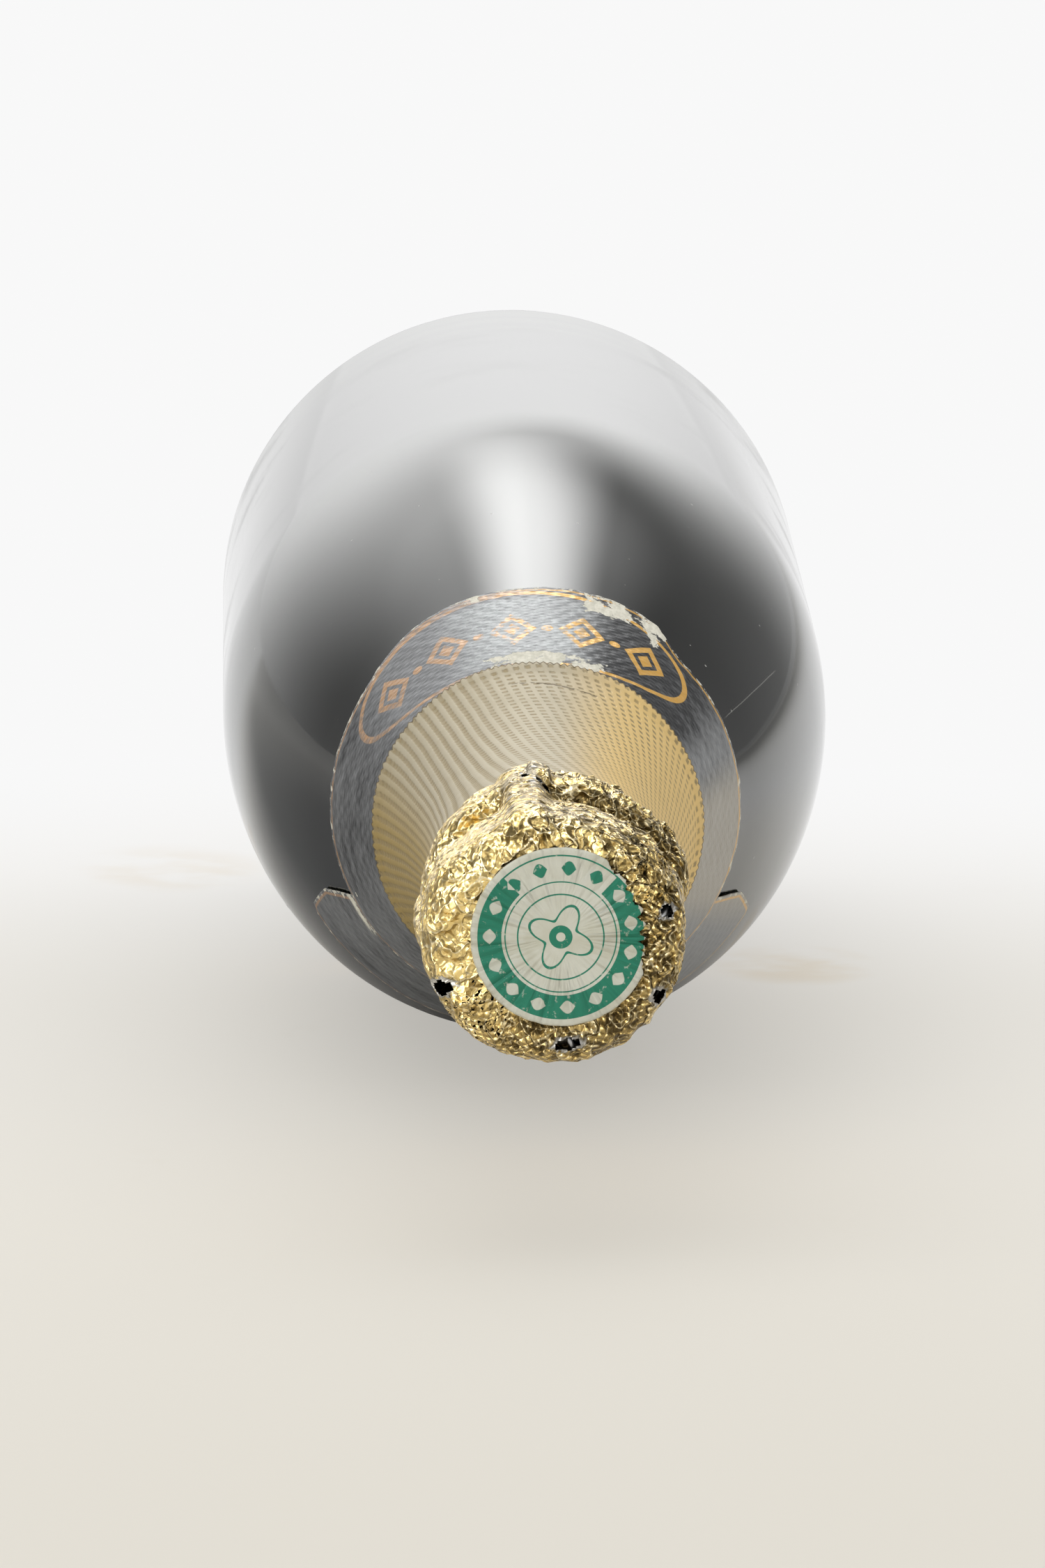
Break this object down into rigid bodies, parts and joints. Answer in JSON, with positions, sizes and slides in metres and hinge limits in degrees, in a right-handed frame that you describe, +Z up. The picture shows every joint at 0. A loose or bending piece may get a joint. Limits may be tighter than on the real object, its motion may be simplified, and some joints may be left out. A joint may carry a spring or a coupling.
{
  "type": "champagne bottle",
  "caption": "Sparkling-wine bottle lying on its label, with a domed punt, a mushroom cork under a twisted wire cage that unhooks, a torn-off foil hood, and paper labels.",
  "frame": {"origin": "Centre of the bounding box's underside, on the surface that the bottle lies on.", "axes": "Z up. The bottle's axis runs along Y, with its base towards +Y and its mouth, cork and hood towards -Y. X is to the right as seen from the mouth."},
  "size_m": [0.0884, 0.324, 0.0888],
  "materials": {
    "green_glass": "dark olive green, polished",
    "neck_gold_foil": "pale gold, embossed and pleated",
    "hood_gold_foil": "gold, embossed and crumpled, worn to silver",
    "tab_gold_foil": "gold, worn to silver",
    "collar_paper": "charcoal, embossed, gold borders, rubbed",
    "shoulder_label_paper": "charcoal with a thin gold border, rubbed at the edges",
    "label_paper": "charcoal with a thin gold border",
    "seal_paper": "off-white with a green ring",
    "agglomerate_cork": "agglomerated cork granules",
    "natural_cork": "natural cork",
    "tinplate": "lacquered tinplate",
    "steel_wire": "galvanised steel wire"
  },
  "bodies": {
    "bottle": {"glass_bottle": "green_glass", "neck_foil": "neck_gold_foil", "collar_label": "collar_paper", "shoulder_label": "shoulder_label_paper", "front_label": "label_paper"},
    "cork": {"cork_body": "agglomerate_cork", "cork_disc_inner": "natural_cork", "cork_disc_wine_side": "natural_cork"},
    "cage": {"crown_plate": "tinplate", "cage_wire_1": "steel_wire", "cage_wire_2": "steel_wire", "cage_wire_3": "steel_wire", "cage_wire_4": "steel_wire", "cage_belt": "steel_wire"},
    "loop": {"cage_loop": "steel_wire", "foil_tab": "tab_gold_foil"},
    "hood": {"foil_hood": "hood_gold_foil", "top_seal": "seal_paper"}
  },
  "joints": [
    {"name": "cork_slide", "type": "slide", "parent": "bottle", "child": "cork", "axis": [0, -1, 0], "range_m": [0, 0.055], "deforming": ["cage_belt"]},
    {"name": "cage_slide", "type": "slide", "parent": "cork", "child": "cage", "axis": [0, -1, 0], "range_m": [0, 0.045], "deforming": ["cage_belt"]},
    {"name": "loop_fold", "type": "hinge", "parent": "cage", "child": "loop", "pos_m": [0.01473, -0.12632, 0.03519], "axis": [0.5446, 0, 0.8387], "range_deg": [0, 100]},
    {"name": "hood_slide", "type": "slide", "parent": "cage", "child": "hood", "axis": [0, -1, 0], "range_m": [0, 0.05]}
  ]
}
